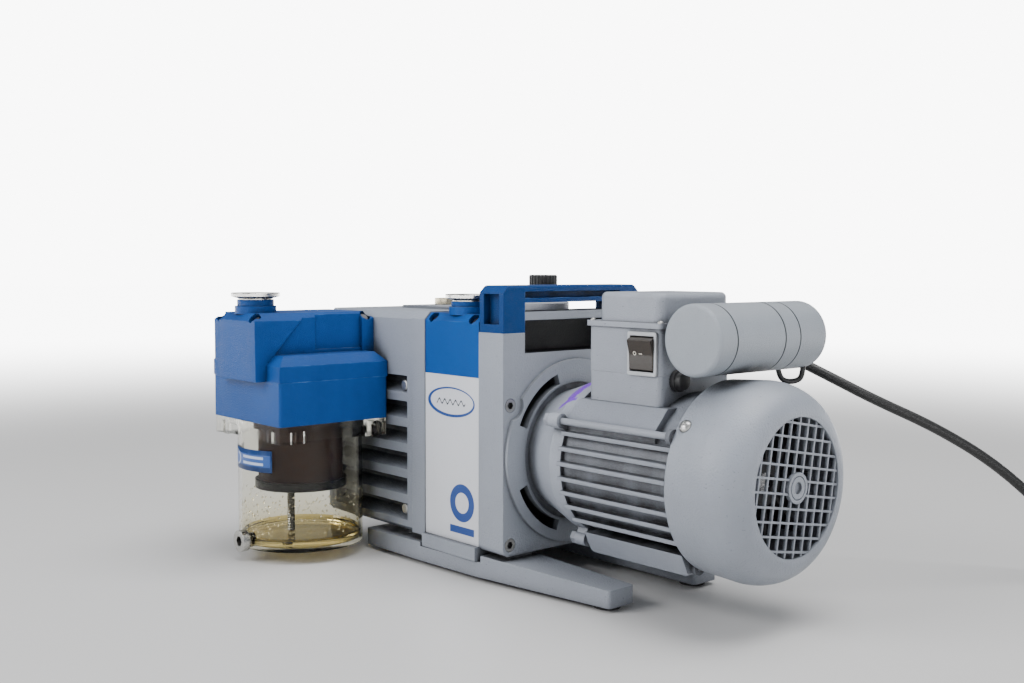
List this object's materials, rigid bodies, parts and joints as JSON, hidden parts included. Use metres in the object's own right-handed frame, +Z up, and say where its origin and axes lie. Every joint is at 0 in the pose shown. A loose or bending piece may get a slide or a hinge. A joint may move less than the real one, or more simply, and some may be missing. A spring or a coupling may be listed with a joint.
{
  "type": "rotary vane vacuum pump",
  "caption": "Belt-free, direct-drive two-stage rotary vane vacuum pump with an electric motor, carry handle, foot rails and a clear oil-mist filter at its side.",
  "frame": {"origin": "centre of the bottom of the pump's box on the surface it stands on, cord not counted", "axes": "+Z up; shaft along X with the fan at +X; the filter hangs at the -Y side near -X"},
  "size_m": [0.6855, 0.535, 0.24],
  "materials": {
    "grey_paint": "painted",
    "motor_grey": "painted",
    "box_grey": "painted",
    "blue_plastic": "satin",
    "white_panel": "satin",
    "clear_bowl": "polished",
    "clear_glass": "polished",
    "brown_filter": "matte",
    "zinc_steel": "satin",
    "nickel": "polished",
    "stainless": "machined",
    "black_plastic": "matte",
    "black_rubber": "matte",
    "spider_rubber": "matte",
    "switch_brown": "gloss",
    "cast_iron": "machined",
    "steel": "machined",
    "electrical_steel": "satin",
    "vane_resin": "satin",
    "aluminium": "satin",
    "copper": "satin",
    "cord_pvc": "satin"
  },
  "bodies": {
    "root": {"bell_housing": "grey_paint", "bell_housing_screws": "zinc_steel", "bowl": "clear_bowl", "bowl_drain_plug": "nickel", "cable_coil": "cord_pvc", "cable_gland": "black_plastic", "capacitor_can": "box_grey", "capacitor_caps": "box_grey", "capacitor_clip": "box_grey", "cowl_screws": "zinc_steel", "exhaust_valve": "steel", "fan_cowl": "motor_grey", "filter_channel": "blue_plastic", "filter_element": "brown_filter", "filter_head": "blue_plastic", "filter_rod": "zinc_steel", "foot_rails": "grey_paint", "front_shield": "motor_grey", "gas_ballast_cover": "grey_paint", "handle": "blue_plastic", "head_screws": "zinc_steel", "hv_stator": "cast_iron", "inlet_head": "blue_plastic", "inlet_screen": "stainless", "label_panel": "white_panel", "lid_screws": "zinc_steel", "lv_stator": "cast_iron", "mains_cable": "cord_pvc", "middle_plate": "cast_iron", "motor_bearings": "steel", "motor_frame": "motor_grey", "oil_case": "grey_paint", "oil_case_screws": "zinc_steel", "oil_plugs": "nickel", "plug": "cord_pvc", "port_flanges": "stainless", "pump_housing": "grey_paint", "rear_plate": "cast_iron", "rear_shield": "motor_grey", "rubber_feet": "black_rubber", "shaft_seal": "black_rubber", "sight_glass": "clear_glass", "stator_core": "electrical_steel", "switch_frame": "box_grey", "terminal_base": "box_grey", "terminal_frame": "box_grey", "terminal_lid": "box_grey", "tie_rods": "zinc_steel", "windings": "copper"},
    "pump_rotor": {"pump_shaft": "steel", "rotors": "steel", "vanes": "vane_resin", "pump_coupling_hub": "aluminium"},
    "motor_rotor": {"motor_shaft": "steel", "rotor_core": "steel", "motor_coupling_hub": "aluminium", "coupling_spider": "spider_rubber", "motor_fan": "black_plastic"},
    "ballast_knob": {"gas_ballast_knob": "black_plastic"},
    "rocker": {"switch_rocker": "switch_brown"}
  },
  "joints": [
    {"name": "motor_spin", "type": "hinge", "parent": "root", "child": "motor_rotor", "pos_m": [0.0246, 0.055, 0.1], "axis": [1, 0, 0], "continuous": true},
    {"name": "pump_spin", "type": "hinge", "parent": "root", "child": "pump_rotor", "pos_m": [-0.0044, 0.055, 0.1], "axis": [1, 0, 0], "continuous": true},
    {"name": "ballast_turn", "type": "hinge", "parent": "root", "child": "ballast_knob", "pos_m": [-0.0354, 0.077, 0.218], "axis": [0, 0, 1], "range_deg": [0, 180]},
    {"name": "switch_rock", "type": "hinge", "parent": "root", "child": "rocker", "pos_m": [0.1336, 0.0185, 0.1855], "axis": [1, 0, 0], "range_deg": [-16, 0]}
  ],
  "couplings": [
    {"joint": "pump_spin", "follows": "motor_spin", "ratio": 1}
  ]
}
